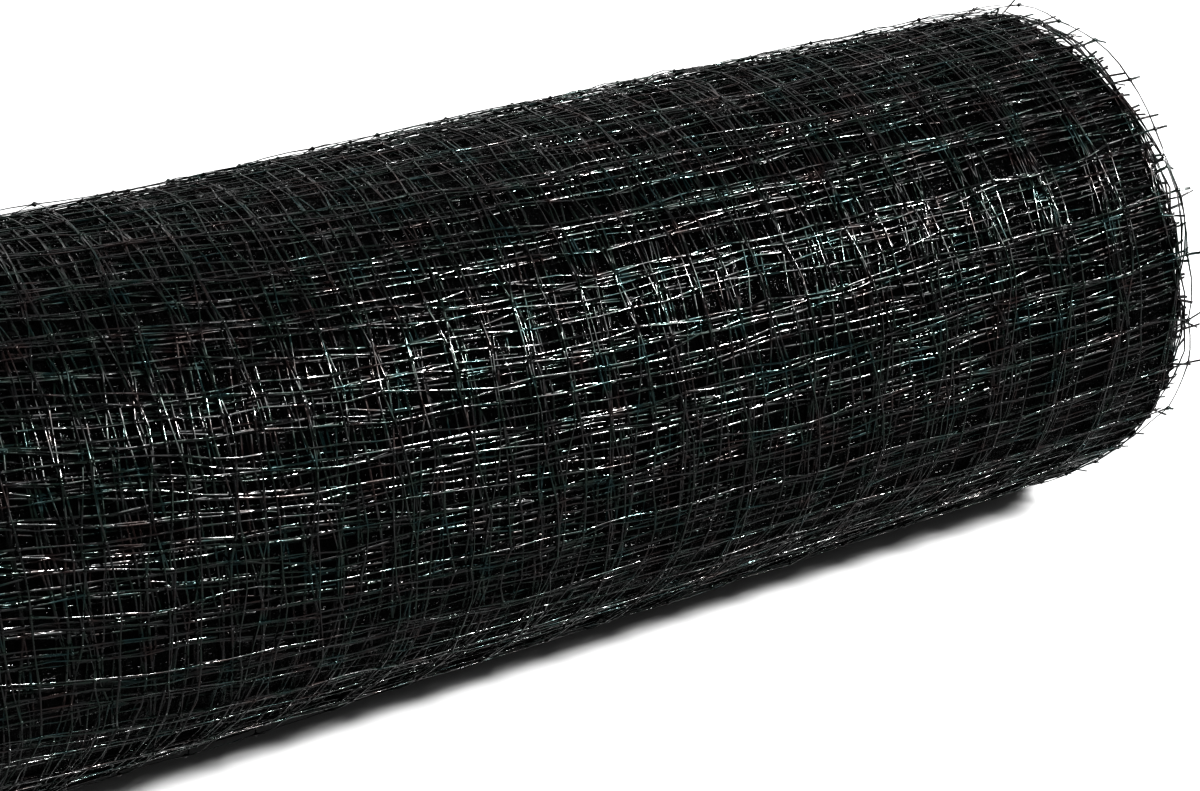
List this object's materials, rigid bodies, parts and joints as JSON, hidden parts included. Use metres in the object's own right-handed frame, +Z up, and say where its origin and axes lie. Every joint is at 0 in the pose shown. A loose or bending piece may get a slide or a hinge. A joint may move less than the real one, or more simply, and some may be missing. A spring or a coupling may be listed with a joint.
{
  "type": "roll of plastic poultry netting",
  "caption": "Coreless roll of black plastic poultry netting with rectangular meshes, lying on its side, its outer lap sprung loose from the roll.",
  "frame": {"origin": "on the surface that the roll lies on, under the middle of its bounding box", "axes": "+X along the roll towards the end that the picture shows, +Z up, and the loose outer lap starts on the -Y side and ends on the +Y side"},
  "size_m": [0.9024, 0.1406, 0.1387],
  "materials": {
    "black_netting": "glossy black extruded and stretched plastic"
  },
  "bodies": {
    "root": {"wound_netting": "black_netting", "loose_lap": "black_netting"}
  },
  "joints": []
}
